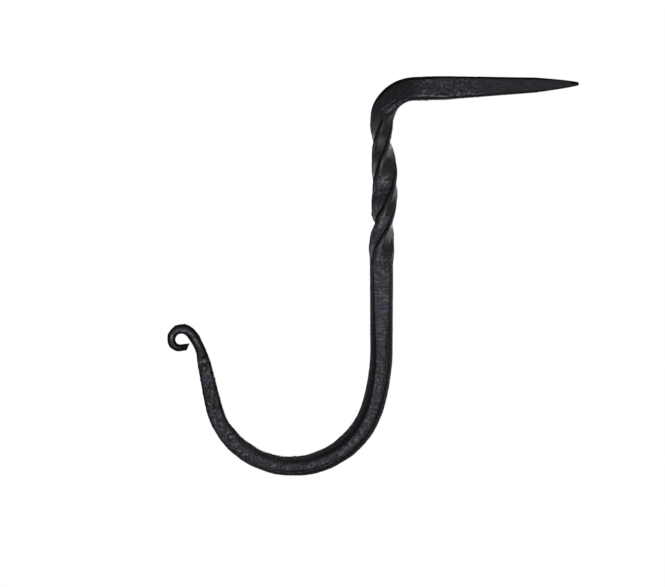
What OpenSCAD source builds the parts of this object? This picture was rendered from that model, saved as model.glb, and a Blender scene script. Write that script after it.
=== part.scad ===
// Forged cup hook: one bar, drawn out to a drive-in spike at one end and to a small curl
// at the other, with a full twist above a J-shaped bow.
// +X runs along the spike into the wood, +Z is up, and the hook lies in the XZ plane.
// The origin is where the spike's middle line leaves the wall side of the stem.

/* [Bar] */
// Width of the bar, seen from the side of the hook
bar_w = 5.8; // [5:0.1:6.5]
// Thickness of the bar, from one side of the hook to the other
bar_t = 4.2; // [3.6:0.1:5]
// Chamfer along the four edges of the bar
bar_chamfer = 0.9; // [0.5:0.1:1.2]

/* [Spike] */
// Straight length of the spike, from the top bend to its tip
spike_len = 42; // [36:1:60]
// Angle at which the spike's middle line rises towards its tip
spike_rise = 1.8; // [0:0.1:4]
// Length of the spike over which the bar is drawn down
taper_len = 34; // [24:1:36]
// Length of the sharper point at the spike's end
point_len = 11; // [6:1:16]
// Width of the spike where its point begins
point_w = 3.7; // [2.8:0.1:4.5]
// Thickness of the spike where its point begins
point_t = 3; // [2.2:0.1:3.5]
// Width of the blunt tip
tip_w = 0.7; // [0.5:0.1:1.5]
// Thickness of the blunt tip
tip_t = 0.6; // [0.5:0.1:1.5]
// Chamfer along the edges of the spike
spike_chamfer = 0.6; // [0.2:0.1:0.9]

/* [Stem and twist] */
// Radius of the top bend, at the middle of the bar
top_bend_r = 8.6; // [6:0.2:12]
// Straight height of the stem, from the top bend to the first bend of the bow
stem_len = 57; // [50:0.5:80]
// Length of bar that is twisted
twist_len = 44; // [36:1:50]
// Number of full turns in the twist
twist_turns = 1; // [1:1:3]
// Length of the top bend that the twist reaches into
twist_lead = 7; // [0:0.1:9]
// How far the middle of the twist stands towards the wall
twist_sway = 0.9; // [0:0.1:1.5]

/* [Bow] */
// Angle of the wide first bend that carries the stem into the bow
lean_angle = 16; // [8:0.5:24]
// Radius of that first bend
lean_r = 54; // [40:1:80]
// Radius of the bow from there down to its lowest point
bow_r = 21.6; // [18:0.2:30]
// Radius of the bow as it rises from its lowest point
rise_r = 20.8; // [16:0.2:28]
// Angle through which it rises at that radius
rise_angle = 57.5; // [50:0.5:66]
// Width of the bar where the bow begins
bow_w = 5.6; // [4.8:0.1:6]
// Width of the bar at the lowest point of the bow
bottom_w = 4.8; // [4.2:0.1:5.6]
// Thickness of the bar at the lowest point of the bow
bottom_t = 4.2; // [3.4:0.1:5]
// Widest chamfer on the inner edges of the bow
inner_chamfer = 2.4; // [0.8:0.1:2.4]
// Widest chamfer on the outer edges of the bow
outer_chamfer = 1.4; // [0.6:0.1:1.6]
// How deep the bow's chamfers reach into the thickness of the bar
chamfer_depth = 1.3; // [0.6:0.1:1.5]

/* [Arm and curl] */
// Angle at which the arm leans out from upright
arm_lean = 12.5; // [5:0.5:18]
// Radius of the gentle bend from the bow into the arm
arm_bend_r = 18.5; // [12:0.5:40]
// Straight length of the arm, up to its forged shoulder
arm_len = 11.7; // [6:0.1:25]
// Width of the bar at the foot of the arm
arm_w = 4; // [3.4:0.1:4.6]
// Thickness of the bar at the foot of the arm
arm_t = 3.6; // [2.8:0.1:4.2]
// Width of the bar just below the shoulder
shoulder_w = 3.2; // [2.8:0.1:3.8]
// Thickness of the bar just below the shoulder
shoulder_t = 3; // [2.4:0.1:3.6]
// Length over which the shoulder steps down to the neck
shoulder_len = 2.4; // [1:0.1:4]
// Width of the neck above the shoulder
neck_w = 2.5; // [2:0.1:2.8]
// Thickness of the neck above the shoulder
neck_t = 2.5; // [1.8:0.1:2.8]
// Chamfer along the edges of the arm
arm_chamfer = 0.4; // [0.1:0.05:0.5]
// Chamfer along the edges of the neck and the curl, which are close to round
curl_chamfer = 0.65; // [0.2:0.05:0.7]
// Radius of the sweep that leads from the arm into the curl
lead_r = 18; // [12:0.5:30]
// Angle of that sweep
lead_angle = 23.5; // [12:0.5:30]
// Radius of the curl where it begins
curl_r = 3.2; // [3:0.1:4]
// Radius of the curl where it ends
curl_end_r = 1.9; // [1.8:0.1:2.6]
// Angle through which the curl is rolled
curl_angle = 242; // [180:1:250]
// Straight length that is left between the curl and the cut
tail_len = 1.9; // [1:0.1:2.2]
// Width of the bar at the end of the curl
end_w = 1.4; // [1:0.1:1.7]
// Thickness of the bar at the end of the curl
end_t = 1.6; // [1:0.1:2.2]
// Slant of the chisel cut that ends the bar
cut_slant = 35; // [0:5:45]

/* [Hidden] */

// How evenly the point swells from the tip: 1 is straight, less is rounder
point_swell = 0.75;
// Share of the twist over which it starts, and again over which it stops
twist_ease = 0.06;
// Chamfers at the blunt tip and at the end of the curl
tip_chamfer = 0.1;
end_chamfer = 0.3;
// Chamfers where the bow is lowest, in the width of the bar
bottom_inner_chamfer = 2.2;
bottom_outer_chamfer = 0.7;
// Where on the way down the bow its chamfers are widest
widest_share = 0.4;
// Longest step along the bar, and largest turns of heading or twist from ring to ring
step_len = 3;
point_step = 1;
bend_step = 5;
curl_step = 9;
twist_step = 6;

bend_angle = 90 - spike_rise;
bow_angle = 90 - lean_angle;
arm_bend_angle = 90 - rise_angle - arm_lean;

function arc_len(r, angle) = r * angle * PI / 180;

// Distances along the middle of the bar, from the tip of the spike
s_bend = spike_len;
s_stem = s_bend + arc_len(top_bend_r, bend_angle);
s_twist = s_stem - twist_lead;
s_plain = s_twist + twist_len;
s_lean = s_stem + stem_len;
s_bow = s_lean + arc_len(lean_r, lean_angle);
s_bottom = s_bow + arc_len(bow_r, bow_angle);
s_widest = s_bow + widest_share * (s_bottom - s_bow);
s_arm_bend = s_bottom + arc_len(rise_r, rise_angle);
s_arm = s_arm_bend + arc_len(arm_bend_r, arm_bend_angle);
s_shoulder = s_arm + arm_len;
s_neck = s_shoulder + shoulder_len;
s_curl = s_shoulder + arc_len(lead_r, lead_angle);
s_tail = s_curl + arc_len((curl_r + curl_end_r) / 2, curl_angle);
s_end = s_tail + tail_len;

// The spike's and the stem's middle lines would meet at this corner, outside the top bend
corner = [-bar_w / 2, -bar_w / 2 * tan(spike_rise)];
tip = corner + (spike_len + top_bend_r * tan(bend_angle / 2)) * [cos(spike_rise), sin(spike_rise)];

// The middle line is walked in steps of [length along the bar, turn of the heading].
// A turn to the left, seen from the front, is positive.
function straight(length, longest) =
    let (count = ceil(length / longest))
    length <= 0 ? [] : [for (i = [1:count]) [length / count, 0]];

function bend(r, angle, largest) =
    let (count = ceil(abs(angle) / largest))
    [for (i = [1:count]) [arc_len(r, abs(angle)) / count, angle / count]];

function curl(r_start, r_end, angle, largest) =
    let (count = ceil(angle / largest))
    [for (i = [1:count])
        let (r = r_start + (r_end - r_start) * (i - 0.5) / count)
        [arc_len(r, angle / count), angle / count]];

steps = concat(
    straight(point_len, point_step),
    straight(taper_len - point_len, step_len),
    straight(spike_len - taper_len, step_len),
    bend(top_bend_r, bend_angle, bend_step),
    straight(s_plain - s_stem, twist_len / twist_turns * twist_step / 360),
    straight(s_lean - s_plain, step_len),
    bend(lean_r, -lean_angle, bend_step),
    bend(bow_r, -bow_angle, bend_step),
    bend(rise_r, -rise_angle, bend_step),
    bend(arm_bend_r, -arm_bend_angle, bend_step),
    straight(arm_len, step_len),
    bend(lead_r, lead_angle, bend_step),
    curl(curl_r, curl_end_r, curl_angle, curl_step),
    straight(tail_len, point_step));

// Straight distance between the ends of one step
function chord(step) =
    step[1] == 0 ? step[0] : 2 * step[0] / (abs(step[1]) * PI / 180) * sin(abs(step[1]) / 2);

// A place on the middle line is [distance along the bar, x, z, heading]
function next_place(place, step) =
    let (mean_heading = place[3] + step[1] / 2)
    [place[0] + step[0],
     place[1] + chord(step) * cos(mean_heading),
     place[2] + chord(step) * sin(mean_heading),
     place[3] + step[1]];

function walk(start) =
    [for (i = 0, place = start;
          i <= len(steps);
          place = i < len(steps) ? next_place(place, steps[i]) : place, i = i + 1)
        place];

// Width and thickness of the bar, and its chamfers, along its length
function drawn_point(s, end, full) = end + (full - end) * pow(s / point_len, point_swell);

function width_at(s) =
    s < point_len ? drawn_point(s, tip_w, point_w) :
    lookup(s, [[point_len, point_w], [taper_len, bar_w], [s_plain, bar_w], [s_lean, bow_w],
               [s_widest, bow_w], [s_bottom, bottom_w], [s_arm, arm_w],
               [s_shoulder, shoulder_w], [s_neck, neck_w], [s_curl, neck_w], [s_end, end_w]]);

function thickness_at(s) =
    s < point_len ? drawn_point(s, tip_t, point_t) :
    lookup(s, [[point_len, point_t], [taper_len, bar_t], [s_bow, bar_t],
               [s_bottom, bottom_t], [s_arm, arm_t], [s_shoulder, shoulder_t],
               [s_neck, neck_t], [s_curl, neck_t], [s_end, end_t]]);

function edge_chamfer_at(s) =
    lookup(s, [[0, tip_chamfer], [point_len, spike_chamfer], [taper_len, spike_chamfer],
               [s_bend, bar_chamfer], [s_plain, bar_chamfer]]);

function arm_chamfer_at(s) =
    lookup(s, [[s_shoulder, arm_chamfer], [s_neck, curl_chamfer], [s_curl, curl_chamfer],
               [s_end, end_chamfer]]);

function inner_chamfer_at(s) =
    s < s_plain ? edge_chamfer_at(s) :
    s > s_arm ? arm_chamfer_at(s) :
    lookup(s, [[s_plain, bar_chamfer], [s_widest, inner_chamfer],
               [s_bottom, bottom_inner_chamfer], [s_arm, arm_chamfer]]);

function outer_chamfer_at(s) =
    s < s_plain ? edge_chamfer_at(s) :
    s > s_arm ? arm_chamfer_at(s) :
    lookup(s, [[s_plain, bar_chamfer], [s_bow, outer_chamfer], [s_widest, outer_chamfer],
               [s_bottom, bottom_outer_chamfer], [s_arm, arm_chamfer]]);

function chamfer_depth_at(s) =
    s < s_plain ? edge_chamfer_at(s) :
    s > s_arm ? arm_chamfer_at(s) :
    lookup(s, [[s_plain, bar_chamfer], [s_widest, chamfer_depth], [s_bottom, bar_chamfer],
               [s_arm, arm_chamfer]]);

// Share of the twist that is done at s: it starts and stops gently, and is even between
function twist_share(s) =
    let (u = max(0, min(1, (s - s_twist) / twist_len)),
         ramp = 2 * twist_ease * (1 - twist_ease))
    u < twist_ease ? u * u / ramp :
    u > 1 - twist_ease ? 1 - (1 - u) * (1 - u) / ramp :
    (u - twist_ease / 2) / (1 - twist_ease);

function sway_at(s) =
    s < s_stem || s > s_plain ? 0 :
    twist_sway * (1 - cos(360 * (s - s_stem) / (s_plain - s_stem))) / 2;

// The bar's section at s, as [towards the outside of the bow, towards the back] pairs
function section(s) =
    let (w = width_at(s) / 2,
         t = thickness_at(s) / 2,
         out = w - outer_chamfer_at(s),
         in = inner_chamfer_at(s) - w,
         flat = t - chamfer_depth_at(s))
    [[out, -t], [w, -flat], [w, flat], [out, t], [in, t], [-w, flat], [-w, -flat], [in, -t]];

// How far a point of the section is moved along the bar, so that the tail ends in a slant
function cut_shift(s, across) =
    s < s_tail ? 0 : across * tan(cut_slant) * (s - s_tail) / tail_len;

// One ring of the bar's surface: the section rolled by the twist and set on its place
function ring(place) =
    let (s = place[0],
         roll = -360 * twist_turns * twist_share(s),
         along = [cos(place[3]), sin(place[3])],
         side = [-along[1], along[0]])
    [for (p = section(s))
        let (across = p[0] * cos(roll) - p[1] * sin(roll) + sway_at(s),
             back = p[0] * sin(roll) + p[1] * cos(roll),
             at = [place[1], place[2]] + across * side + cut_shift(s, p[0]) * along)
        [at[0], back, at[1]]];

// A solid skinned over rings that have the same number of points
module skin(rings) {
    count = len(rings[0]);
    last = len(rings) - 1;
    sides = [for (i = [0:last - 1], j = [0:count - 1])
        let (a = i * count + j,
             b = i * count + (j + 1) % count)
        each [[a, b, a + count], [b, b + count, a + count]]];
    start_cap = [for (j = [1:count - 2]) [0, j + 1, j]];
    end_cap = [for (j = [1:count - 2]) [last * count, last * count + j, last * count + j + 1]];
    polyhedron([for (r = rings) each r], concat(sides, start_cap, end_cap));
}

module hook() {
    color("#2b2c30")
        skin([for (place = walk([0, tip[0], tip[1], 180 + spike_rise])) ring(place)]);
}

hook();
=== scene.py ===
import itertools
import math

import bpy
import numpy as np
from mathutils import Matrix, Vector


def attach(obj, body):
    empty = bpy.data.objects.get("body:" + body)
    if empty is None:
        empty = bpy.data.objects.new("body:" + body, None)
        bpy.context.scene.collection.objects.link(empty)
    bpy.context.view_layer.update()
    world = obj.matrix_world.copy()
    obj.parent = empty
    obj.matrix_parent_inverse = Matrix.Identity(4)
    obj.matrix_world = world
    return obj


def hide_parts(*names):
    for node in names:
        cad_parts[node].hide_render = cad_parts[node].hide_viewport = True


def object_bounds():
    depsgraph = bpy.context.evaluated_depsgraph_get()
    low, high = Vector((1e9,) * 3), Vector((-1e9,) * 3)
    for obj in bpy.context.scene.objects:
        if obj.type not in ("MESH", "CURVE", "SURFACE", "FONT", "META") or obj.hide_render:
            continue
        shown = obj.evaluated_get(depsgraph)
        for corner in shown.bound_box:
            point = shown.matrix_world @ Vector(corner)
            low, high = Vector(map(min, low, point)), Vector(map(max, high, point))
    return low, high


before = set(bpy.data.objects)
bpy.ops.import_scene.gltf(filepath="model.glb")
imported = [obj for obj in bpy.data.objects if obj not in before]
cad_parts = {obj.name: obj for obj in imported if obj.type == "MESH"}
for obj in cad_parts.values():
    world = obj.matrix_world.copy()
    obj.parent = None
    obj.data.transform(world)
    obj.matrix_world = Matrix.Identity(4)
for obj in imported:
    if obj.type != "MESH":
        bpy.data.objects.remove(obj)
cad_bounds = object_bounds()

MM = 0.001

# ---------------------------------------------------------------------------
# The bar's drawn form, in millimetres and degrees. It is the form of the CAD solid.
# ---------------------------------------------------------------------------

BAR_W, BAR_T, BAR_CHAMFER = 5.8, 4.2, 0.9
SPIKE_LEN, SPIKE_RISE = 42.0, 1.8
TAPER_LEN, POINT_LEN, POINT_SWELL = 34.0, 11.0, 0.75
POINT_W, POINT_T, TIP_W, TIP_T = 3.7, 3.0, 0.7, 0.6
SPIKE_CHAMFER, TIP_CHAMFER = 0.6, 0.1
TOP_BEND_R, STEM_LEN = 8.6, 57.0
TWIST_LEN, TWIST_TURNS, TWIST_LEAD, TWIST_SWAY, TWIST_EASE = 44.0, 1, 7.0, 0.9, 0.06
LEAN_ANGLE, LEAN_R, BOW_R, RISE_R, RISE_ANGLE = 16.0, 54.0, 21.6, 20.8, 57.5
BOW_W, BOTTOM_W, BOTTOM_T = 5.6, 4.8, 4.2
INNER_CHAMFER, OUTER_CHAMFER, CHAMFER_DEPTH, WIDEST_SHARE = 2.4, 1.4, 1.3, 0.4
BOTTOM_INNER_CHAMFER, BOTTOM_OUTER_CHAMFER = 2.2, 0.7
ARM_LEAN, ARM_BEND_R, ARM_LEN = 12.5, 18.5, 11.7
ARM_W, ARM_T, SHOULDER_W, SHOULDER_T, SHOULDER_LEN = 4.0, 3.6, 3.2, 3.0, 2.4
NECK_W, NECK_T, ARM_CHAMFER, CURL_CHAMFER, END_CHAMFER = 2.5, 2.5, 0.4, 0.65, 0.3
LEAD_R, LEAD_ANGLE = 18.0, 23.5
CURL_R, CURL_END_R, CURL_ANGLE, TAIL_LEN = 3.2, 1.9, 242.0, 1.9
END_W, END_T, CUT_SLANT = 1.4, 1.6, 35.0
WALK_STEP = 0.01


def arc_len(radius, angle):
    return radius * math.radians(angle)


BEND_ANGLE = 90 - SPIKE_RISE
BOW_ANGLE = 90 - LEAN_ANGLE
ARM_BEND_ANGLE = 90 - RISE_ANGLE - ARM_LEAN

# Distances along the middle of the bar, from the tip of the spike
S_BEND = SPIKE_LEN
S_STEM = S_BEND + arc_len(TOP_BEND_R, BEND_ANGLE)
S_TWIST = S_STEM - TWIST_LEAD
S_PLAIN = S_TWIST + TWIST_LEN
S_LEAN = S_STEM + STEM_LEN
S_BOW = S_LEAN + arc_len(LEAN_R, LEAN_ANGLE)
S_BOTTOM = S_BOW + arc_len(BOW_R, BOW_ANGLE)
S_WIDEST = S_BOW + WIDEST_SHARE * (S_BOTTOM - S_BOW)
S_ARM_BEND = S_BOTTOM + arc_len(RISE_R, RISE_ANGLE)
S_ARM = S_ARM_BEND + arc_len(ARM_BEND_R, ARM_BEND_ANGLE)
S_SHOULDER = S_ARM + ARM_LEN
S_NECK = S_SHOULDER + SHOULDER_LEN
S_CURL = S_SHOULDER + arc_len(LEAD_R, LEAD_ANGLE)
S_TAIL = S_CURL + arc_len((CURL_R + CURL_END_R) / 2, CURL_ANGLE)
S_END = S_TAIL + TAIL_LEN


def along(s, *stations):
    """A value that runs straight between (distance, value) stations."""
    return np.interp(s, [station[0] for station in stations], [station[1] for station in stations])


def curvature(s):
    """Turn of the heading, in radians for each mm: left turns, seen from the front, are positive."""
    tightening = 2 * (CURL_R - CURL_END_R) / math.radians(CURL_ANGLE)
    curl_radius = np.sqrt(np.clip(CURL_R ** 2 - tightening * (s - S_CURL), CURL_END_R ** 2, CURL_R ** 2))
    stretches = [
        (S_BEND, 0.0), (S_STEM, 1 / TOP_BEND_R), (S_LEAN, 0.0), (S_BOW, -1 / LEAN_R),
        (S_BOTTOM, -1 / BOW_R), (S_ARM_BEND, -1 / RISE_R), (S_ARM, -1 / ARM_BEND_R),
        (S_SHOULDER, 0.0), (S_CURL, 1 / LEAD_R), (S_TAIL, 1 / curl_radius),
    ]
    return np.select([s < end for end, _ in stretches], [turn for _, turn in stretches], 0.0)


def middle_line(stations):
    """x, z and heading of the bar's middle line at the given distances."""
    s = np.arange(0, S_END, WALK_STEP)
    turn = curvature(s + WALK_STEP / 2) * WALK_STEP
    heading = math.radians(180 + SPIKE_RISE) + np.concatenate([[0], np.cumsum(turn)])
    mean = (heading[:-1] + heading[1:]) / 2
    rise = math.radians(SPIKE_RISE)
    reach = SPIKE_LEN + TOP_BEND_R * math.tan(math.radians(BEND_ANGLE / 2))
    tip_x = -BAR_W / 2 + reach * math.cos(rise)
    tip_z = -BAR_W / 2 * math.tan(rise) + reach * math.sin(rise)
    x = tip_x + np.concatenate([[0], np.cumsum(np.cos(mean) * WALK_STEP)])
    z = tip_z + np.concatenate([[0], np.cumsum(np.sin(mean) * WALK_STEP)])
    walked = np.append(s, s[-1] + WALK_STEP)
    return [np.interp(stations, walked, line) for line in (x, z, heading)]


def drawn_point(s, end, full):
    """A size along the point of the spike, which swells from the tip."""
    return end + (full - end) * np.clip(s / POINT_LEN, 0, 1) ** POINT_SWELL


def width(s):
    """Width of the bar, in the hook's plane."""
    body = along(s, (POINT_LEN, POINT_W), (TAPER_LEN, BAR_W), (S_PLAIN, BAR_W), (S_LEAN, BOW_W),
                 (S_WIDEST, BOW_W), (S_BOTTOM, BOTTOM_W), (S_ARM, ARM_W), (S_SHOULDER, SHOULDER_W),
                 (S_NECK, NECK_W), (S_CURL, NECK_W), (S_END, END_W))
    return np.where(s < POINT_LEN, drawn_point(s, TIP_W, POINT_W), body)


def thickness(s):
    """Thickness of the bar, from front to back."""
    body = along(s, (POINT_LEN, POINT_T), (TAPER_LEN, BAR_T), (S_BOW, BAR_T), (S_BOTTOM, BOTTOM_T),
                 (S_ARM, ARM_T), (S_SHOULDER, SHOULDER_T), (S_NECK, NECK_T), (S_CURL, NECK_T),
                 (S_END, END_T))
    return np.where(s < POINT_LEN, drawn_point(s, TIP_T, POINT_T), body)


def chamfers(s):
    """Inner width, outer width and depth of the chamfers."""
    edge = along(s, (0, TIP_CHAMFER), (POINT_LEN, SPIKE_CHAMFER), (TAPER_LEN, SPIKE_CHAMFER),
                 (S_BEND, BAR_CHAMFER), (S_PLAIN, BAR_CHAMFER))
    arm = along(s, (S_SHOULDER, ARM_CHAMFER), (S_NECK, CURL_CHAMFER), (S_CURL, CURL_CHAMFER),
                (S_END, END_CHAMFER))
    inner = along(s, (S_PLAIN, BAR_CHAMFER), (S_WIDEST, INNER_CHAMFER),
                  (S_BOTTOM, BOTTOM_INNER_CHAMFER), (S_ARM, ARM_CHAMFER))
    outer = along(s, (S_PLAIN, BAR_CHAMFER), (S_BOW, OUTER_CHAMFER), (S_WIDEST, OUTER_CHAMFER),
                  (S_BOTTOM, BOTTOM_OUTER_CHAMFER), (S_ARM, ARM_CHAMFER))
    depth = along(s, (S_PLAIN, BAR_CHAMFER), (S_WIDEST, CHAMFER_DEPTH), (S_BOTTOM, BAR_CHAMFER),
                  (S_ARM, ARM_CHAMFER))
    return [np.select([s < S_PLAIN, s > S_ARM], [edge, arm], later) for later in (inner, outer, depth)]


def twist_roll(s):
    """Angle by which the section is rolled: the twist starts and stops gently."""
    u = np.clip((s - S_TWIST) / TWIST_LEN, 0, 1)
    slowed = 2 * TWIST_EASE * (1 - TWIST_EASE)
    even = (u - TWIST_EASE / 2) / (1 - TWIST_EASE)
    share = np.select([u < TWIST_EASE, u > 1 - TWIST_EASE], [u * u / slowed, 1 - (1 - u) ** 2 / slowed], even)
    return -2 * math.pi * TWIST_TURNS * share


def twist_sway(s):
    """How far the middle line swings aside in the twist."""
    swing = (1 - np.cos(2 * math.pi * (s - S_STEM) / (S_PLAIN - S_STEM))) / 2
    return np.where((s < S_STEM) | (s > S_PLAIN), 0.0, TWIST_SWAY * swing)


# ---------------------------------------------------------------------------
# Fixed noise, and shapes of change
# ---------------------------------------------------------------------------

HASH_X, HASH_Y, HASH_Z, HASH_SEED = 73856093, 19349663, 83492791, 265443576
HASH_FIRST, HASH_SECOND = 1274126177, 668265263
WORD, HALF_WORD = 0xFFFFFFFF, 0xFFFF
SKEW_XY, SKEW_YZ, SKEW_ZX = 0.47, 0.31, 0.23
SEED_SHIFT = np.array([7.31, 3.77, 5.19])
FLAKE_SEEDS = (11, 12, 13)
FAR, FLAKE_LIMIT = 9.0, 1.2


def lattice(x, y, z, seed):
    """A fixed random value from 0 to 1 for each whole-number place."""
    h = (x * HASH_X) ^ (y * HASH_Y) ^ (z * HASH_Z) ^ (seed * HASH_SEED)
    h = ((h ^ (h >> 13)) * HASH_FIRST) & WORD
    h = ((h ^ (h >> 15)) * HASH_SECOND) & WORD
    return ((h ^ (h >> 16)) & HALF_WORD) / HALF_WORD


def turned(points, cell, seed):
    """The points in cells, on a lattice that lies askew to the bar."""
    x, y, z = np.moveaxis(points / np.array(cell), -1, 0)
    askew = np.stack([x + SKEW_XY * y, y - SKEW_XY * x + SKEW_YZ * z, z + SKEW_ZX * x - SKEW_YZ * y], -1)
    return askew + seed * SEED_SHIFT


def value_noise(points, cell, seed):
    """Smooth noise from -1 to 1, with the given size of cell in each direction."""
    p = turned(points, cell, seed)
    base = np.floor(p).astype(np.int64)
    f = p - base
    f = f * f * f * (f * (6 * f - 15) + 10)
    total = np.zeros(points.shape[:-1])
    for corner in itertools.product((0, 1), repeat=3):
        weight = 1.0
        for axis, step in enumerate(corner):
            weight = weight * (f[..., axis] if step else 1 - f[..., axis])
        x, y, z = np.moveaxis(base + corner, -1, 0)
        total += (2 * lattice(x, y, z, seed) - 1) * weight
    return total


def flake_noise(points, cell, seed):
    """Distance to the nearest of scattered flakes: 0 at a flake's middle, about 1 between flakes."""
    p = turned(points, cell, seed)
    base = np.floor(p).astype(np.int64)
    nearest = np.full(points.shape[:-1], FAR)
    for neighbour in itertools.product((-1, 0, 1), repeat=3):
        place = base + neighbour
        x, y, z = np.moveaxis(place, -1, 0)
        jitter = np.stack([lattice(x, y, z, seed + more) for more in FLAKE_SEEDS], -1)
        nearest = np.minimum(nearest, ((place + jitter - p) ** 2).sum(-1))
    return np.clip(np.sqrt(nearest), 0, FLAKE_LIMIT)


def smooth(low, high, x):
    """0 at low, 1 at high, with a smooth rise between. High may be the smaller."""
    u = np.clip((x - low) / (high - low), 0, 1)
    return u * u * (3 - 2 * u)


def between(s, start, whole_from, whole_to, end):
    """1 on the stretch from whole_from to whole_to, falling smoothly to 0 at start and end."""
    return smooth(start, whole_from, s) * smooth(end, whole_to, s)


def plateau(s, at, reach):
    """1 about a place on the bar, and 0 beyond its reach."""
    return np.exp(-((s - at) / reach) ** 4)


def dab(s, across, at, middle, reach_along, reach_across):
    """1 at a place on a face, falling off round it."""
    return np.exp(-((s - at) / reach_along) ** 2 - ((across - middle) / reach_across) ** 2)


def towards(value, goal, share):
    """The value moved to the goal by the given share of the way."""
    return value + share * (goal - value)


# ---------------------------------------------------------------------------
# The forged skin: what the hammer and the fire left, and the light and shade painted into its tone. In
# millimetres: a distance is along the bar from the spike's tip, and across is towards the outside of the bow.
# ---------------------------------------------------------------------------

# The section's eight corners are numbered from the front face's outer ridge, round by the outside and
# the back. Side n runs from corner n to the next.
FRONT_OUTER_CHAMFER, OUTER, BACK, BACK_INNER_CHAMFER, INNER, FRONT = 0, 1, 3, 4, 5, 7
FLAT_SIDES, BROAD_FACES = (FRONT, BACK, OUTER, INNER), (FRONT, BACK)
EVEN_CHAMFERS = (FRONT_OUTER_CHAMFER, BACK_INNER_CHAMFER)
FRONT_OUTER_RIDGE, BACK_OUTER_RIDGE, BACK_INNER_RIDGE, FRONT_INNER_RIDGE = 0, 3, 4, 7
OUTER_RIDGES, INNER_RIDGES = (FRONT_OUTER_RIDGE, BACK_OUTER_RIDGE), (BACK_INNER_RIDGE, FRONT_INNER_RIDGE)
SIDE_RIDGES = (1, 2, 5, 6)
EVEN_CORNERS, ODD_CORNERS = (0, 2, 4, 6), (1, 3, 5, 7)
NO_CORNER = -1

# The grid: the step between rings, and the points on each side of the section
RING_STEP = 0.2
SIDE_POINTS = (4, 9, 4, 15, 4, 9, 4, 15)
CORNER_ROUND, CURL_ROUND, BOW_RIDGE_ROUND, BOW_INNER_ROUND = 0.16, 0.34, 0.28, 0.8
MOST_OF_SIDE, CROWN_SHARE = 0.42, 0.5
OVAL_SHARE, OVAL_END_SHARE = 0.6, 0.3

# Flats along the outside of the curl, then the inside and the outside of the bow and the arm:
# (from, to, depth)
CURL_FLATS = [(196.5, 200.1, 0.12), (200.1, 204.2, 0.20), (204.2, 205.5, 0.04), (205.5, 208.5, 0.20),
              (208.5, 210.2, 0.12), (210.2, 211.6, 0.10), (211.6, 214.2, 0.05)]
BOW_FLATS = [(140.0, 147.0, 0.07), (147.0, 154.5, 0.09), (154.5, 161.5, 0.07), (161.5, 167.5, 0.12),
             (167.5, 174.1, 0.16), (174.1, 181.0, 0.14)]
OUTSIDE_FLATS = [(128.0, 133.5, 0.06), (133.5, 140.5, 0.09), (140.5, 146.0, 0.07), (146.0, 152.0, 0.08),
                 (152.0, 159.0, 0.08), (159.0, 165.0, 0.09), (165.0, 171.5, 0.10), (171.5, 178.0, 0.09),
                 (186.0, 189.5, 0.05), (189.5, 191.0, 0.03), (191.0, 193.0, 0.04)]
FLAT_MEAN = 2 / 3

# Single marks on the front: (distance, across, reach along, reach across, height)
FRONT_MARKS = [(194.9, -0.3, 0.7, 0.8, -0.20), (193.9, 0.1, 0.3, 1.6, 0.07), (192.6, 1.1, 0.6, 0.5, -0.06),
               (190.6, 1.3, 0.5, 0.5, -0.05), (90.9, 0.9, 0.5, 0.5, -0.06), (88.0, -1.2, 0.7, 0.4, -0.03),
               (101.5, 0.4, 1.2, 0.5, -0.03), (36.5, -0.6, 0.6, 0.8, -0.05), (31.0, 1.0, 0.9, 0.7, -0.04)]
# Where the front was struck askew: (distance, reach along, tilt across, tilt along)
FACE_TILTS = [(49.5, 6.5, 0.10, -0.05), (30.0, 5.0, -0.02, 0.02), (16.0, 8.0, 0.04, 0.0)]
# The ridge of the facet hammered along the inside of the top bend: (distance, across)
FACET_LINE = [(43.0, 2.0), (45.2, 1.55), (47.4, 1.15), (50.1, 0.80), (52.5, 0.45)]
FACET_SLOPE = 0.42
# Where the twist stands out more, seen from the front: (distance, reach along, 1 right or -1 left, height)
TWIST_BULGES = [(65.5, 4.5, 1, 0.24), (77.0, 3.0, -1, 0.46), (79.3, 1.3, -1, 0.24), (85.2, 3.0, -1, 0.40)]

# Patches of fire scale left on the twist: (distance, reach along)
SCALE_PATCHES = [(60.5, 2.0), (72.0, 3.2), (82.0, 3.4), (91.5, 2.6)]
PATCH_DEPTH, ROUGHEST = 0.034, 0.080
# Duller stretches on the twist's left: (from, to, how much rougher)
DULL_STRETCHES = [(52.0, 61.0, 0.26), (73.0, 81.5, 0.38), (84.0, 92.0, 0.20)]
# Painted highlights in patches on the twist's faces: (distance, reach along, how much lighter)
TWIST_HIGHLIGHT_PATCHES = [(69.8, 3.6, 0.25), (79.0, 3.0, 0.34), (87.5, 2.8, 0.34)]
# Painted highlights along the middle of the neck and the curl and on the raised mark at the shoulder, painted
# shade in the dents at 194.9 and 90.9 with a painted highlight beside the latter, and darker spots at the
# spike's tip and the curl's end: (distance, across, reach along, reach across, tone)
SPOTS_AND_PAINTED_LIGHT = [(193.8, 0.8, 0.25, 0.6, 0.85), (194.0, -0.4, 0.22, 0.8, 0.88), (194.9, -0.4, 0.55, 0.8, 0.10),
         (208.2, 0.12, 1.1, 0.32, 0.90), (206.0, 0.3, 0.9, 0.28, 0.80), (203.9, 0.45, 1.1, 0.32, 0.96),
         (202.1, 0.2, 0.8, 0.30, 0.84), (199.8, -0.05, 1.2, 0.35, 0.78), (198.0, -0.2, 1.0, 0.30, 0.62),
         (213.9, 0.0, 0.8, 2.0, 0.12), (1.0, -0.3, 2.0, 0.8, 0.05), (90.9, 0.9, 0.45, 0.4, 0.10),
         (90.2, 0.9, 0.30, 0.4, 0.66)]
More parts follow.
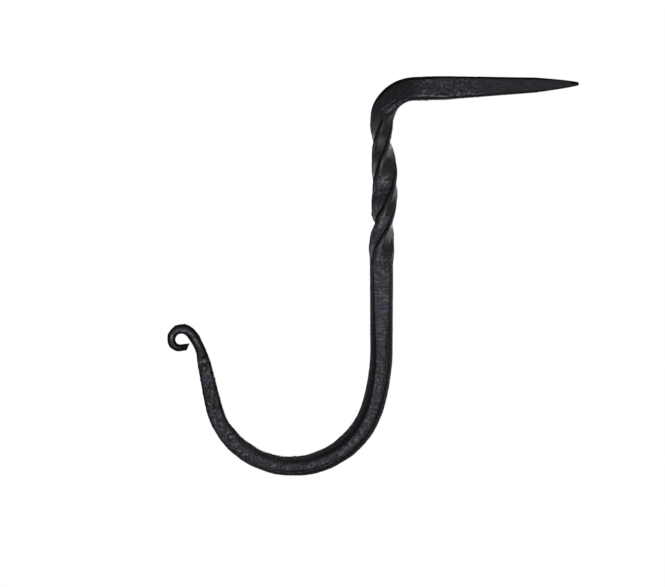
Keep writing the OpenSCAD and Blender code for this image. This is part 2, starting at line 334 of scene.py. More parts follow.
# Tones, from 0, burnt black, to 1, bare iron: the first five below are painted shade, the next four painted
# highlights.
RIM_TONE, OUTLINE_SHADE, GROOVE_SHADE, TWIST_SHADED_RIDGE, PLAIN_SHADE = 0.03, 0.04, 0.05, 0.12, 0.14
TWIST_LIT_RIDGE, FACET_HIGHLIGHT, PLAIN_LIT_RIM, FACET_LIT_RIDGE = 0.42, 0.54, 0.58, 0.60
MOTTLE_LIMIT = 0.21


def section_corners(s):
    """The eight corners at each s, as (towards the outside of the bow, towards the back)."""
    w, t = width(s) / 2, thickness(s) / 2
    inner, outer, depth = chamfers(s)
    out, flat = w - outer, t - depth
    inside = inner - w
    a = np.stack([out, w, w, out, inside, -w, -w, inside], 1)
    b = np.stack([-t, -flat, flat, t, t, flat, -flat, -t], 1)
    return np.stack([a, b], 2)


def rounded_section(corners, radius):
    """Points round the section with each corner rounded, and each point's side and corner, if any."""
    before = np.roll(corners, 1, 1) - corners
    after = np.roll(corners, -1, 1) - corners
    reach_before = np.minimum(radius / np.linalg.norm(before, axis=2), MOST_OF_SIDE)[:, :, None]
    reach_after = np.minimum(radius / np.linalg.norm(after, axis=2), MOST_OF_SIDE)[:, :, None]
    start, end = corners + before * reach_before, corners + after * reach_after
    crown = CROWN_SHARE * corners + (1 - CROWN_SHARE) * (start + end) / 2
    points, sides, rounded = [], [], []
    for side, inner_points in enumerate(SIDE_POINTS):
        following = (side + 1) % len(SIDE_POINTS)
        points += [start[:, side], crown[:, side], end[:, side]]
        sides += [(side - 1) % len(SIDE_POINTS), side, side]
        rounded += [NO_CORNER, side, NO_CORNER]
        for k in range(1, inner_points + 1):
            points.append(towards(end[:, side], start[:, following], k / (inner_points + 1)))
            sides.append(side)
            rounded.append(NO_CORNER)
    return np.stack(points, 1), np.array(sides), np.array(rounded)


def corner_rounding(s):
    """The radius of each corner along the bar: larger on the curl and on the ridges of the bow."""
    radius = along(s, (S_SHOULDER, CORNER_ROUND), (S_NECK, CURL_ROUND), (S_TAIL, CURL_ROUND),
                   (S_END, CORNER_ROUND))
    rounding = np.repeat(radius[:, None], len(SIDE_POINTS), 1)
    bow_share = along(s, (S_PLAIN, 0), (S_LEAN, 1), (S_BOTTOM, 1), (S_ARM, 0))
    inner_share = along(s, (S_BOW, 0), (S_BOTTOM, 1), (S_ARM_BEND, 1), (S_ARM, 0))
    for ridge in OUTER_RIDGES:
        rounding[:, ridge] += bow_share * (BOW_RIDGE_ROUND - CORNER_ROUND)
    for ridge in INNER_RIDGES:
        rounding[:, ridge] += inner_share * (BOW_INNER_ROUND - CORNER_ROUND)
    return rounding


def hammered_round(s, section):
    """The section drawn towards an oval where the neck and the curl are close to round."""
    half = np.stack([width(s), thickness(s)], -1)[:, None, :] / 2
    oval = section / np.linalg.norm(section / half, axis=-1, keepdims=True)
    share = along(s, (S_SHOULDER - 1, 0.0), (S_NECK, OVAL_SHARE), (S_TAIL, OVAL_SHARE),
                  (S_END, OVAL_END_SHARE))
    return towards(section, oval, share[:, None, None])


def flats(s, hammered):
    """Depth of the flats: below the drawn outline in each flat's middle, above it at its ends."""
    depth = np.zeros_like(s)
    for start, end, deepest in hammered:
        u = (s - start) / (end - start)
        depth += np.where((u >= 0) & (u < 1), deepest * (4 * u * (1 - u) - FLAT_MEAN), 0)
    return depth[:, None]


def squeezed(s, section):
    """The section with the flats pressed in across the bar."""
    away = section[..., 0] / (width(s)[:, None] / 2)
    press = flats(s, CURL_FLATS) * smooth(0.2, -0.9, away)
    press += flats(s, BOW_FLATS) * smooth(-0.2, -0.9, away)
    press -= flats(s, OUTSIDE_FLATS) * smooth(0.2, 0.9, away)
    return np.stack([section[..., 0] + press, section[..., 1]], -1)


def past_facet(s, across):
    """How far a point of the face lies beyond the facet's ridge, and how much of the facet is there."""
    return across - along(s, *FACET_LINE), between(s, 42.5, 44.0, 52.0, 54.0)


def struck(s, section):
    """The section with the facet, single marks and tilted faces on its front."""
    s = s[:, None]
    across, back = section[..., 0], section[..., 1]
    front = smooth(0.1, 0.95, -back / (thickness(s) / 2))
    height = np.zeros_like(across)
    for at, middle, reach_along, reach_across, rise in FRONT_MARKS:
        height += rise * dab(s, across, at, middle, reach_along, reach_across)
    for at, reach, tilt_across, tilt_along in FACE_TILTS:
        height += smooth(1, 0.6, np.abs(s - at) / reach) * (tilt_across * across + tilt_along * (s - at))
    beyond, share = past_facet(s, across)
    height -= FACET_SLOPE * share * np.maximum(beyond, 0)
    return np.stack([across, back - front * height], -1)


class Skin:
    """The grid of points on the bar, before it is bent: rings along it, and places round each ring."""

    def __init__(self):
        rings = np.linspace(0, S_END, int(S_END / RING_STEP))
        section, self.side, self.corner = rounded_section(section_corners(rings), corner_rounding(rings))
        section = struck(rings, squeezed(rings, hammered_round(rings, section)))
        self.rings = rings
        self.s = np.repeat(rings[:, None], section.shape[1], 1)
        self.across, self.back = section[..., 0], section[..., 1]
        self.bar = np.stack([self.s, self.across, self.back], -1)
        self.on_broad_face = np.isin(self.side, BROAD_FACES)
        roll = twist_roll(rings)[:, None]
        # Once the bar is twisted: how far to the right on the stem, seen from the front, and how far back
        self.aside = self.across * np.cos(roll) - self.back * np.sin(roll)
        self.rolled_back = self.across * np.sin(roll) + self.back * np.cos(roll)


def scale_depth(s):
    """How deep the fire scale is along the bar."""
    scale = along(s, (0, 0.004), (14, 0.006), (24, 0.012), (27, 0.070), (40, 0.085), (41.5, 0.030),
                  (44, 0.012), (52, 0.014), (88, 0.014), (93, 0.012), (S_LEAN, 0.016), (S_WIDEST, 0.036),
                  (S_ARM_BEND, 0.075), (S_ARM, 0.100), (S_SHOULDER, 0.095), (S_NECK, 0.055),
                  (S_CURL, 0.020), (S_END, 0.030))
    return PATCH_DEPTH * sum(plateau(s, at, reach) for at, reach in SCALE_PATCHES) + scale


def relief(skin):
    """How far the forged surface stands out from the drawn bar."""
    s, bar = skin.s, skin.bar
    on_face = np.where(skin.on_broad_face, 1.0, 0.3)
    rough = scale_depth(s) * on_face
    wave = along(s, (0, 0.02), (24, 0.02), (30, 0.05), (56, 0.05), (90, 0.04), (96, 0.025), (S_BOW, 0.03),
                 (S_BOTTOM, 0.06), (S_END, 0.06))
    height = wave * value_noise(bar, cell=(9.0, 5.0, 5.0), seed=1)
    height += wave * value_noise(bar, cell=(3.4, 2.4, 2.4), seed=2)
    height += 1.9 * rough * value_noise(bar, cell=(0.85, 0.60, 0.60), seed=3)
    height += 1.3 * rough * (flake_noise(bar, cell=(0.80, 0.60, 0.60), seed=4) - 0.55)
    ripple = along(s, (52, 0.004), (88, 0.006), (94, 0.050), (130, 0.050), (150, 0.030), (S_END, 0.004))
    height += ripple * on_face * value_noise(bar, cell=(0.85, 2.2, 2.2), seed=7)
    height -= rough * smooth(0.45, 0.75, value_noise(bar, cell=(1.0, 0.9, 0.9), seed=5))
    for at, reach, hand, rise in TWIST_BULGES:
        height += rise * plateau(s, at, reach) * smooth(0.3, 2.0, hand * skin.aside)
    height += along(s, (0, 0.03), (24, 0.04), (56, 0.07), (S_SHOULDER, 0.07), (S_CURL, 0.12))
    tip_share = 0.25
    return height * (tip_share + (1 - tip_share) * smooth(0, 2.5, s))


def roughness(skin):
    """Roughness of the black finish: the twist and the curl are the smoothest."""
    s = skin.s
    finish = along(s, (0, 0.60), (24, 0.64), (27, 0.58), (40, 0.56), (43, 0.76), (49, 0.72), (53, 0.56),
                   (56, 0.34), (60, 0.30), (86, 0.30), (93, 0.46), (S_BOW, 0.44), (S_BOTTOM, 0.46),
                   (S_ARM, 0.52), (S_SHOULDER, 0.48), (S_NECK, 0.38), (S_CURL, 0.26), (S_TAIL, 0.36),
                   (S_END, 0.50))
    duller = sum(more * between(s, low - 1, low + 1, high - 1, high + 1)
                 for low, high, more in DULL_STRETCHES)
    return duller * smooth(-0.8, -1.7, skin.aside) + finish


def rippled(s):
    """Where the finish lies in fine ripples across the bar: on the plain stem and down the bow."""
    return along(s, (88, 0), (93, 1), (135, 1), (S_BOTTOM, 0.6), (S_ARM_BEND, 0.3), (S_ARM, 0))


def plain_share(s):
    """Where the bar is plain, with wide chamfers: the stem below the twist, and the bow."""
    return along(s, (88, 0), (94, 1), (S_BOTTOM, 1), (S_ARM_BEND, 0))


def twisted_share(s):
    """Where the twist's own tones hold."""
    return between(s, 50, 56, 86, 91)


def face_tone(s):
    """The faces' tone along the bar: lightest on the plain stem and the bow, darker at the top bend and
    towards the curl's end.
    """
    return along(s, (0, 0.46), (24, 0.48), (28, 0.47), (40, 0.47), (42, 0.24), (49, 0.26), (53, 0.40),
                 (56, 0.44), (88, 0.44), (94, 0.63), (125, 0.61), (S_BOTTOM, 0.58), (S_ARM_BEND, 0.52),
                 (S_ARM, 0.51), (S_SHOULDER, 0.50), (S_NECK, 0.40), (S_CURL, 0.38), (208, 0.30),
                 (S_END, 0.10))


def edge_shade(s):
    """How light the edges between a chamfer and a side are along the bar: painted shade, darkest along the
    spike, the twist, the arm and the curl.
    """
    return along(s, (0, 0.02), (26, 0.02), (62, 0.03), (92, 0.22), (S_WIDEST, 0.28), (S_BOTTOM, 0.10),
                 (S_ARM_BEND, 0.03), (S_END, 0.02))


def mottle(skin, speckle):
    """What scale, painted highlight patches on the twist and a painted highlight along the spike's outer
    ridge add to the faces' tone.
    """
    s, bar = skin.s, skin.bar
    rough = scale_depth(s) / ROUGHEST
    scale = 0.30 * rough * value_noise(bar, cell=(0.55, 0.42, 0.42), seed=10)
    scale += 0.60 * rough * (flake_noise(bar, cell=(0.60, 0.45, 0.45), seed=11) - 0.5)
    added = np.minimum(scale, MOTTLE_LIMIT) * along(s, (41, 0.8), (44, 1.0))
    added += 0.06 * plain_share(s) * value_noise(bar, cell=(0.75, 2.4, 2.4), seed=12)
    # Painted highlight patches on the twist's left, speckled.
    twist_highlight = sum(lift * plateau(s, at, reach) for at, reach, lift in TWIST_HIGHLIGHT_PATCHES)
    added += twist_highlight * (0.45 + 0.55 * speckle) * smooth(1.4, -0.8, skin.aside)
    # Painted highlight along the spike's outer ridge.
    from_ridge = width(s) / 2 - chamfers(s)[1] - skin.across
    spike_ridge_highlight = along(s, (22, 0), (27, 1), (38, 1), (41, 1.9), (43, 1.9), (45, 0))
    return added + 0.20 * spike_ridge_highlight * smooth(0.55, 0.10, from_ridge)


def chamfer_shade_and_light(skin):
    """Tone of the chamfers, with painted shade: darker than the faces and falling off to the darker edge with
    the sides, with a painted light rim along the plain stem and bow, the stem's left chamfer lighter, the
    spike's upper chamfers darker, and on the twist painted shade by one ridge and painted light by the other.
    """
    s, across = skin.s, skin.across
    depth = chamfers(s)[2]
    up_chamfer = (np.abs(skin.back) - (thickness(s) / 2 - depth)) / depth
    tone = along(s, (0, 0.25), (42, 0.30), (54, 0.48), (86, 0.48), (96, 0.30), (S_WIDEST, 0.30),
                 (S_BOTTOM, 0.42), (S_ARM_BEND, 0.30), (S_ARM, 0.12), (S_NECK, 0.10), (S_END, 0.05))
    # Painted light on the stem's left chamfer.
    tone += 0.10 * smooth(0, -0.5, across) * along(s, (90, 0), (96, 1), (118, 1), (130, 0))
    band = along(s, (0, 0.7), (24, 0.6), (46, 0.5), (54, 0.25), (88, 0.25), (96, 0.35), (S_BOTTOM, 0.4),
                 (S_ARM, 0.6))
    tone = towards(edge_shade(s), tone, smooth(-0.1, band, up_chamfer))
    # Painted light rim along the outline of the plain chamfers, over painted shade.
    rim = along(s, (94, 0.90), (S_LEAN, 0.60), (S_BOTTOM, 0.55))
    tone = towards(tone, PLAIN_SHADE + 0.44 * smooth(rim, 0.0, up_chamfer), plain_share(s))
    # Painted shade on the spike's upper chamfers.
    tone *= 1 - 0.8 * along(s, (0, 1), (54, 1), (56, 0)) * smooth(0, -0.8, across)
    # Painted shade and painted light on the twist's chamfers, by turns.
    from_even = np.where(np.isin(skin.side, EVEN_CHAMFERS), 1 - up_chamfer, up_chamfer)
    return towards(tone, 0.10 + 0.35 * smooth(0.30, 0.85, from_even), twisted_share(s))


def with_ridges(skin, tone, worn):
    """The tone with worn ridges along the corners, a painted highlight along the outer ridge of the spike and
    the top bend, and painted shade along the side ridges, which turns to a painted light rim on the plain
    stem and bow.
    """
    s, corner = skin.s, skin.corner
    ridge = along(s, (0, 0.0), (20, 0.0), (30, 0.1), (44, 0.25), (56, 0.3), (88, 0.3), (94, 0.05),
                  (S_END, 0.05))
    # Painted highlight along the outer ridge of the spike and the top bend.
    outer_ridge_highlight = along(s, (22, 0.0), (27, 0.32), (41, 0.38), (43, 0.50), (51, 0.62), (54, 0.0),
                        (S_ARM_BEND, 0.0))
    tone = np.where(np.isin(corner, OUTER_RIDGES + INNER_RIDGES), face_tone(s) + ridge * worn, tone)
    tone = np.where(np.isin(corner, OUTER_RIDGES), tone + outer_ridge_highlight * (0.5 + 0.5 * worn), tone)
    # Painted shade along the side ridges at the outline, and a painted light rim there on the plain stem and
    # bow.
    side_ridge_shade_and_light = towards(edge_shade(s), PLAIN_LIT_RIM, plain_share(s))
    return np.where(np.isin(corner, SIDE_RIDGES), side_ridge_shade_and_light, tone)


def with_shade(skin, tone):
    """The tone darkened along the outside of the stem and the bow, and at the rims of the arm and curl."""
    s, across = skin.s, skin.across
    shade = along(s, (96, 2.2), (101, 1.7), (108, 1.05), (S_LEAN, 0.75), (120, 0.95), (S_BOTTOM, 0.75),
                  (S_ARM_BEND, 0.9), (S_ARM, 2.2))
    in_shade = plain_share(s) * smooth(shade, shade + 0.4, across) * skin.on_broad_face
    tone = towards(tone, PLAIN_SHADE, in_shade)
    rim_share = along(s, (S_BOTTOM, 0.0), (S_ARM_BEND, 0.5), (S_ARM, 0.8), (S_END, 0.9))
    rim_start = along(s, (S_SHOULDER, 0.50), (S_NECK, 0.32))
    at_rim = smooth(rim_start, rim_start + 0.35, np.abs(across) / (width(s) / 2))
    return towards(tone, RIM_TONE, rim_share * at_rim * np.where(skin.on_broad_face, 1.0, 0.6))


def with_twist(skin, tone, worn):
    """The tone with the twist's ridges, painted light and painted shade by turns, and painted shade along its
    outline.
    """
    s, corner, aside = skin.s, skin.corner, skin.aside
    twisted = twisted_share(s)
    # Painted highlights on the twist's ridges, brighter on two stretches.
    bright = np.where(corner == BACK_OUTER_RIDGE, between(s, 56, 60, 66, 70), 0)
    bright = np.where(corner == FRONT_INNER_RIDGE, between(s, 81, 84, 88, 91), bright)
    lit_ridge_tone = TWIST_LIT_RIDGE + bright * (0.38 + 0.12 * worn)
    tone = np.where(np.isin(corner, ODD_CORNERS), towards(tone, lit_ridge_tone, twisted), tone)
    tone = np.where(np.isin(corner, EVEN_CORNERS), towards(tone, TWIST_SHADED_RIDGE, twisted), tone)
    to_outline = aside / np.abs(aside).max(1, keepdims=True)
    # Painted shade along the twist's outline, stronger on the left.
    dark = 0.85 * smooth(-0.80, -0.97, to_outline) + 0.45 * smooth(0.86, 0.98, to_outline)
    return towards(tone, OUTLINE_SHADE, between(s, 46, 51, 88, 93) * dark)


def with_facet(skin, tone, worn, speckle):
    """The tone with a painted highlight on the facet of the top bend and on the round of the bend, a dark
    line of painted shade just past the facet's ridge, and a painted highlight on the ridge.
    """
    s, side, corner = skin.s, skin.side, skin.corner
    # Painted highlight on the facet, speckled.
    facet_highlight_tone = FACET_HIGHLIGHT + 0.16 * speckle + 0.06 * value_noise(skin.bar, cell=(0.5, 0.4, 0.4), seed=13)
    # Painted highlight on the round of the bend.
    bend_highlight_share = between(s, 41.5, 44.5, 51.0, 55.0) * np.isin(side, (FRONT_OUTER_CHAMFER, OUTER))
    tone = np.where(corner != FRONT_OUTER_RIDGE, towards(tone, facet_highlight_tone, bend_highlight_share), tone)
    beyond, share = past_facet(s, skin.across)
    share = share * ((side == FRONT) | (corner == FRONT_OUTER_RIDGE))
    facet_highlight_tone = facet_highlight_tone + 0.20 * smooth(0.7, 1.5, beyond)
    tone = towards(tone, facet_highlight_tone, share * smooth(0.35, 0.65, beyond))
    # Painted shade just past the ridge, then a painted highlight on the ridge.
    tone = towards(tone, GROOVE_SHADE, share * between(beyond, 0.12, 0.28, 0.45, 0.62))
    return towards(tone, FACET_LIT_RIDGE + 0.20 * worn, share * smooth(0.22, 0.04, np.abs(beyond)))


def surface_tone(skin):
    """The finish's tone, with painted light and shade in it: 0 in the dark outer edges, which are painted
    shade, 1 where bare iron shows through, and high in the painted highlights.
    """
    # Random wear, which also varies the painted highlights.
    worn = smooth(-0.35, 0.55, value_noise(skin.bar, cell=(2.2, 1.3, 1.3), seed=8))
    speckle = smooth(-0.1, 0.5, value_noise(skin.bar, cell=(0.70, 0.50, 0.50), seed=9))
    flat_tone = face_tone(skin.s) + mottle(skin, speckle)
    tone = np.where(np.isin(skin.side, FLAT_SIDES), flat_tone, chamfer_shade_and_light(skin))
    tone = with_shade(skin, with_ridges(skin, tone, worn))
    tone = with_facet(skin, with_twist(skin, tone, worn), worn, speckle)
    # Painted highlights and shade, and darker spots, at single places.
    for at, middle, reach_along, reach_across, spot_tone in SPOTS_AND_PAINTED_LIGHT:
        tone = towards(tone, spot_tone, dab(skin.s, skin.across, at, middle, reach_along, reach_across))
    return np.clip(tone, 0, 1)


def forged_points(skin):
    """The skin's points in metres: bent along the middle line, with the relief, inside the CAD box."""
    x, z, heading = middle_line(skin.rings)
    level = np.zeros_like(x)
    forward = np.stack([np.cos(heading), level, np.sin(heading)], 1)[:, None, :]
    side_way = np.stack([-np.sin(heading), level, np.cos(heading)], 1)[:, None, :]
    centre = np.stack([x, level, z], 1)[:, None, :]
    slant = np.clip((skin.s - S_TAIL) / TAIL_LEN, 0, 1) * math.tan(math.radians(CUT_SLANT))
    sway = twist_sway(skin.rings)[:, None]
    points = (centre + (skin.aside + sway)[..., None] * side_way
              + (skin.across * slant)[..., None] * forward)
    points[..., 1] += skin.rolled_back
    round_way = np.roll(points, -1, 1) - np.roll(points, 1, 1)
    normal = np.cross(np.gradient(points, axis=0), round_way)
    normal /= np.linalg.norm(normal, axis=2, keepdims=True)
    if (normal * (points - centre - sway[..., None] * side_way)).sum() < 0:
        normal = -normal
    points += normal * relief(skin)[..., None]
    low, high = np.array(cad_bounds) / MM
    return np.clip(points, low, high) * MM


def grid_mesh(name, points):
    """A closed mesh over a grid of rings, with a fan at each end."""
    rings, count, _ = points.shape
    ends = np.stack([points[0].mean(0), points[-1].mean(0)])
    vertices = np.concatenate([points.reshape(-1, 3), ends])
    ring, place = np.meshgrid(np.arange(rings - 1), np.arange(count), indexing="ij")
    here, beside = ring * count + place, ring * count + (place + 1) % count
    quads = np.stack([here, here + count, beside + count, beside], -1).reshape(-1, 4)
    first, last = rings * count, rings * count + 1
    around = np.arange(count)
    after = (around + 1) % count
    final = (rings - 1) * count
    start_fan = np.stack([np.full(count, first), around, after], 1)
    end_fan = np.stack([np.full(count, last), final + after, final + around], 1)
    mesh = bpy.data.meshes.new(name)
    mesh.from_pydata(vertices.tolist(), [], quads.tolist() + start_fan.tolist() + end_fan.tolist())
    mesh.validate()
    mesh.polygons.foreach_set("use_smooth", [True] * len(mesh.polygons))
    return mesh


def add_hook():
    """The forged hook, with what its finish needs at each point. Its last two points are its ends."""
    skin = Skin()
    mesh = grid_mesh("forged_hook", forged_points(skin))
    hook = bpy.data.objects.new("forged_hook", mesh)
    bpy.context.scene.collection.objects.link(hook)
    place = mesh.attributes.new("bar_place", "FLOAT_VECTOR", "POINT")
    ends = [[0, 0, 0], [S_END, 0, 0]]
    place.data.foreach_set("vector", np.concatenate([skin.bar.reshape(-1, 3), ends]).ravel())
    for name, values, at_ends in (("bar_scale", scale_depth(skin.s) / ROUGHEST, 0),
                                  ("bar_dull", roughness(skin), 0.5),
                                  ("bar_ripple", rippled(skin.s), 0),
                                  ("bar_tone_and_painted_light", surface_tone(skin), 0)):
        made = mesh.attributes.new(name, "FLOAT", "POINT")
        made.data.foreach_set("value", np.append(values, [at_ends, at_ends]))
    return hook


# ---------------------------------------------------------------------------
# Shader nodes
# ---------------------------------------------------------------------------

MIX_FACTOR, MIX_LOW, MIX_HIGH, MIX_COLOUR = 0, 6, 7, 2


def node(tree, kind, **inputs):
    """A new node, with values on its inputs."""
    made = tree.nodes.new(kind)
    for key, value in inputs.items():
        made.inputs[key].default_value = value
    return made


def feed(tree, socket, source):
    """Link a socket, or set it where the source is a plain number or colour."""
    if isinstance(source, bpy.types.NodeSocket):
        tree.links.new(source, socket)
    else:
        socket.default_value = source


def math_node(tree, operation, first, second):
    """The result of a Math node on two numbers."""
    made = node(tree, "ShaderNodeMath")
    made.operation = operation
    feed(tree, made.inputs[0], first)
    feed(tree, made.inputs[1], second)
    return made.outputs[0]


def ramp(tree, source, stops):
    """A colour ramp with (position, colour) stops."""
    made = tree.nodes.new("ShaderNodeValToRGB")
    elements = made.color_ramp.elements
    while len(elements) < len(stops):
        elements.new(0.5)
    for element, (position, colour) in zip(elements, stops):
        element.position = position
        element.color = (*colour, 1)
    feed(tree, made.inputs["Fac"], source)
    return made.outputs["Color"]


def mixed(tree, amount, low, high, blend="MIX"):
    """Two colours mixed by an amount."""
    made = node(tree, "ShaderNodeMix")
    made.data_type = "RGBA"
    made.blend_type = blend
    feed(tree, made.inputs[MIX_FACTOR], amount)
    feed(tree, made.inputs[MIX_LOW], low)
    feed(tree, made.inputs[MIX_HIGH], high)
    return made.outputs[MIX_COLOUR]


def multiplied(tree, first, second):
    """One colour times another."""
    return mixed(tree, 1.0, first, second, "MULTIPLY")


def mixed_shaders(tree, amount, low, high):
    """Two shader nodes mixed by an amount."""
    made = tree.nodes.new("ShaderNodeMixShader")
    for socket, source in zip(made.inputs, (amount, low.outputs[0], high.outputs[0])):
        feed(tree, socket, source)
    return made.outputs[0]


def attribute(tree, name, output="Fac"):
    """A value that the mesh carries at each point."""
    made = tree.nodes.new("ShaderNodeAttribute")
    made.attribute_name = name
    return made.outputs[output]


def noise(tree, place, scale, stretch, detail, roughness):
    """Noise over the bar, stretched along it."""
    mapping = node(tree, "ShaderNodeMapping", Scale=stretch)
    feed(tree, mapping.inputs["Vector"], place)
    made = node(tree, "ShaderNodeTexNoise", Scale=scale, Detail=detail, Roughness=roughness)
    feed(tree, made.inputs["Vector"], mapping.outputs["Vector"])
    return made.outputs["Fac"]


def grey(value):
    return (value, value, value)


# ---------------------------------------------------------------------------
# Material: black wax over forged scale
# ---------------------------------------------------------------------------

WHITE = (1, 1, 1, 1)
SPECULAR_TINT = (0.92, 0.92, 1.0, 1)
BUMP_STRENGTH, BUMP_DISTANCE = 0.8, 0.0001
# Stops of the colour ramps, by what drives them
EVEN_BLACK = [(0.36, grey(0.0080)), (0.62, grey(0.0135))]
MOTTLED_BLACK = [(0.40, grey(0.0020)), (0.50, grey(0.0095)), (0.60, grey(0.0340))]
# Painted shade in the ripples' creases and painted light on their crests.
RIPPLE_SHADE_AND_LIGHT = [(0.0, grey(0.50)), (0.40, grey(1.0)), (1.0, grey(1.20))]
BLUE_TINT = [(0.36, (1.03, 1.01, 1.04)), (0.50, (0.98, 0.97, 1.22)), (0.64, (0.95, 0.94, 1.40))]
WEAR_AND_PAINTED_LIGHT = [(0.0, grey(0.05)), (0.30, grey(0.35)), (0.55, grey(1.0)), (0.75, grey(3.0))]
IRON_AND_HIGHLIGHT_GREY = [(0.36, (0.090, 0.0891, 0.0955)), (0.64, (0.150, 0.1485, 0.157))]
BARE_AND_HIGHLIGHT_SHARE = [(0.62, grey(0.0)), (1.0, grey(1.0))]
SHEEN = [(0.0, grey(0.02)), (0.10, grey(0.06)), (0.24, grey(0.13))]
UNEVEN_GLOSS = [(0.30, grey(0.80)), (0.70, grey(1.20))]
DULL_EDGE = [(0.10, grey(0.85)), (0.40, grey(0.0))]


def black_finish():
    """Blue-black wax that is rubbed through to iron, with scale in it, and ripples on the plain stem, their
    creases in painted shade; the tone brings painted light and shade too, in iron grey where it is a
    highlight.
    """
    material = bpy.data.materials.new("black_forged_finish")
    material.use_nodes = True
    tree = material.node_tree
    shader = tree.nodes["Principled BSDF"]
    shader.inputs["Metallic"].default_value = 0.0
    shader.inputs["Specular Tint"].default_value = SPECULAR_TINT
    place = attribute(tree, "bar_place", "Vector")
    scaly, tone, dull, ripple = [attribute(tree, name)
                                 for name in ("bar_scale", "bar_tone_and_painted_light", "bar_dull", "bar_ripple")]
    patches = noise(tree, place, scale=1.5, stretch=(0.75, 1.0, 1.0), detail=3.0, roughness=0.6)
    grain = noise(tree, place, scale=1.6, stretch=(0.6, 1.0, 1.0), detail=3.0, roughness=0.55)
    hue = noise(tree, place, scale=0.16, stretch=(1.0, 1.0, 1.0), detail=2.0, roughness=0.55)
    waves = node(tree, "ShaderNodeTexWave", Scale=0.34, Distortion=5.0, Detail=1.5,
                 **{"Detail Scale": 1.7, "Detail Roughness": 0.6})
    waves.bands_direction = "X"
    feed(tree, waves.inputs["Vector"], place)
    wave = waves.outputs["Fac"]

    black = mixed(tree, scaly, ramp(tree, patches, EVEN_BLACK), ramp(tree, patches, MOTTLED_BLACK))
    # Painted shade in the ripples' creases, painted light on their crests.
    black = multiplied(tree, black, mixed(tree, ripple, WHITE, ramp(tree, wave, RIPPLE_SHADE_AND_LIGHT)))
    black = multiplied(tree, black, ramp(tree, hue, BLUE_TINT))
    # Painted light and shade, with the wear, from the tone.
    black = multiplied(tree, black, ramp(tree, tone, WEAR_AND_PAINTED_LIGHT))
    # Iron grey where the tone is highest: bare iron, and painted highlights.
    colour = mixed(tree, ramp(tree, tone, BARE_AND_HIGHLIGHT_SHARE), black, ramp(tree, patches, IRON_AND_HIGHLIGHT_GREY))
    feed(tree, shader.inputs["Base Color"], colour)
    feed(tree, shader.inputs["Specular IOR Level"], ramp(tree, tone, SHEEN))
    gloss = multiplied(tree, ramp(tree, grain, UNEVEN_GLOSS), dull)
    rough = mixed(tree, 1.0, gloss, ramp(tree, tone, DULL_EDGE), "LIGHTEN")
    feed(tree, shader.inputs["Roughness"], rough)
    bump = node(tree, "ShaderNodeBump", Strength=BUMP_STRENGTH, Distance=BUMP_DISTANCE)
    creased = math_node(tree, "MULTIPLY", wave, ripple)
    feed(tree, bump.inputs["Height"], math_node(tree, "ADD", grain, creased))
    feed(tree, shader.inputs["Normal"], bump.outputs["Normal"])
    return material


# ---------------------------------------------------------------------------
# Studio: white surround, pale floor, soft lights and the camera
# ---------------------------------------------------------------------------

IMAGE_WIDTH_PX, IMAGE_HEIGHT_PX = 665, 587
MM_PER_PX = 0.255
ORIGIN_PX = (392.8, 89.6)
LENS_MM, SENSOR_MM = 150.0, 36.0
FLOOR_Z, FLOOR_RADIUS, FLOOR_SIDES = -0.46, 0.95, 96
FLOOR_COLOUR = (0.86, 0.86, 0.86, 1)
FADE_FROM, FADE_TO = 0.45, 0.98
FILL_STRENGTH = 0.22
HOOK_MIDDLE = np.array([-0.015, 0, -0.05])
# Softboxes: (name, azimuth, elevation, distance, size, radiance)
SOFTBOXES = [("front_light", 1, -7, 0.95, (0.66, 0.50), 7.0),
             ("key_light", -24, 26, 0.85, (0.14, 0.14), 8.0),
             ("left_light", -112, -8, 0.75, (0.42, 0.42), 2.5),
             ("right_light", 112, -4, 0.75, (0.42, 0.42), 2.5),
             ("back_light", 180, 12, 0.95, (0.7, 0.7), 4.6)]


def add_camera():
    """The photo's view: level, square to the hook's plane."""
    data = bpy.data.cameras.new("camera")
    data.lens = LENS_MM
    data.sensor_width = SENSOR_MM
    distance = MM_PER_PX * IMAGE_WIDTH_PX * LENS_MM / SENSOR_MM
    camera = bpy.data.objects.new("camera", data)
    camera.location = ((IMAGE_WIDTH_PX / 2 - ORIGIN_PX[0]) * MM_PER_PX * MM, -distance * MM,
                       (ORIGIN_PX[1] - IMAGE_HEIGHT_PX / 2) * MM_PER_PX * MM)
    camera.rotation_euler = (math.radians(90), 0, 0)
    bpy.context.scene.collection.objects.link(camera)
    bpy.context.scene.camera = camera


def add_softbox(name, azimuth, elevation, distance, size, radiance):
    """A light of the given width and height that looks at the hook: azimuth 0 is the camera's side,
    90 the spike's."""
    a, e = math.radians(azimuth), math.radians(elevation)
    way = np.array([math.sin(a) * math.cos(e), -math.cos(a) * math.cos(e), math.sin(e)])
    data = bpy.data.lights.new(name, "AREA")
    data.shape = "RECTANGLE"
    data.size, data.size_y = size
    data.energy = radiance * math.pi * size[0] * size[1]
    light = bpy.data.objects.new(name, data)
    light.location = HOOK_MIDDLE + way * distance
    light.rotation_euler = (math.pi / 2 - e, 0, a)
    light.visible_camera = False
    bpy.context.scene.collection.objects.link(light)


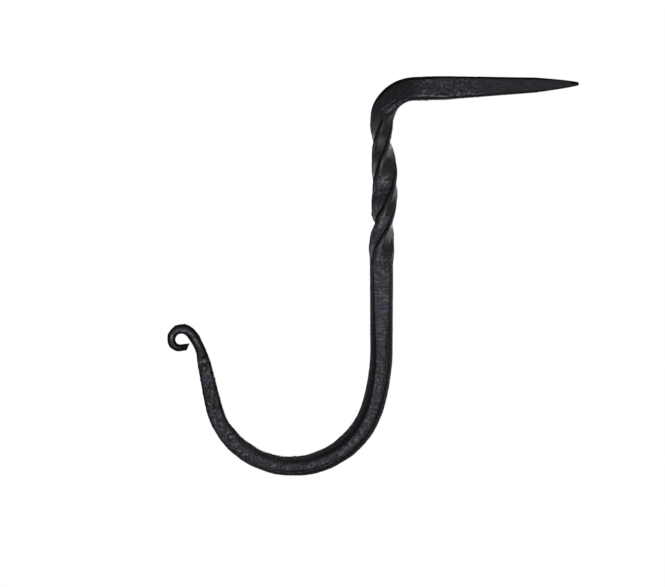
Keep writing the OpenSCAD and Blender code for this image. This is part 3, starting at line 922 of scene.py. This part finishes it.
def add_world():
    """White to the camera and in reflections, and a soft grey fill on what is lit by it."""
    world = bpy.data.worlds.new("studio")
    bpy.context.scene.world = world
    world.use_nodes = True
    tree = world.node_tree
    tree.nodes.clear()
    path = tree.nodes.new("ShaderNodeLightPath").outputs
    seen = math_node(tree, "MAXIMUM", path["Is Camera Ray"], path["Is Glossy Ray"])
    shown = math_node(tree, "MAXIMUM", seen, path["Is Transmission Ray"])
    fill = node(tree, "ShaderNodeBackground", Color=WHITE, Strength=FILL_STRENGTH)
    white = node(tree, "ShaderNodeBackground", Color=WHITE, Strength=1.0)
    output = tree.nodes.new("ShaderNodeOutputWorld")
    feed(tree, output.inputs["Surface"], mixed_shaders(tree, shown, fill, white))


def pale_floor():
    """A pale matt finish that turns clear towards the floor's rim."""
    material = bpy.data.materials.new("pale_floor")
    material.use_nodes = True
    tree = material.node_tree
    tree.nodes.clear()
    position = tree.nodes.new("ShaderNodeNewGeometry").outputs["Position"]
    flat = tree.nodes.new("ShaderNodeVectorMath")
    flat.operation = "MULTIPLY"
    flat.inputs[1].default_value = (1, 1, 0)
    feed(tree, flat.inputs[0], position)
    length = tree.nodes.new("ShaderNodeVectorMath")
    length.operation = "LENGTH"
    feed(tree, length.inputs[0], flat.outputs[0])
    fade = node(tree, "ShaderNodeMapRange",
                **{"From Min": FADE_FROM * FLOOR_RADIUS, "From Max": FADE_TO * FLOOR_RADIUS})
    feed(tree, fade.inputs["Value"], length.outputs["Value"])
    paint = node(tree, "ShaderNodeBsdfDiffuse", Color=FLOOR_COLOUR)
    clear = tree.nodes.new("ShaderNodeBsdfTransparent")
    output = tree.nodes.new("ShaderNodeOutputMaterial")
    feed(tree, output.inputs["Surface"], mixed_shaders(tree, fade.outputs[0], paint, clear))
    return material


def add_floor():
    """A round floor, well below the hook."""
    turns = [2 * math.pi * k / FLOOR_SIDES for k in range(FLOOR_SIDES)]
    rim = [(FLOOR_RADIUS * math.cos(turn), FLOOR_RADIUS * math.sin(turn), FLOOR_Z) for turn in turns]
    mesh = bpy.data.meshes.new("floor")
    mesh.from_pydata(rim, [], [list(range(FLOOR_SIDES))])
    floor = bpy.data.objects.new("floor", mesh)
    bpy.context.scene.collection.objects.link(floor)
    mesh.materials.append(pale_floor())


forged_hook = add_hook()
forged_hook.data.materials.append(black_finish())
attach(forged_hook, "root")
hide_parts("hook")

add_world()
add_floor()
for softbox in SOFTBOXES:
    add_softbox(*softbox)
add_camera()
bpy.context.scene.view_settings.view_transform = "Standard"
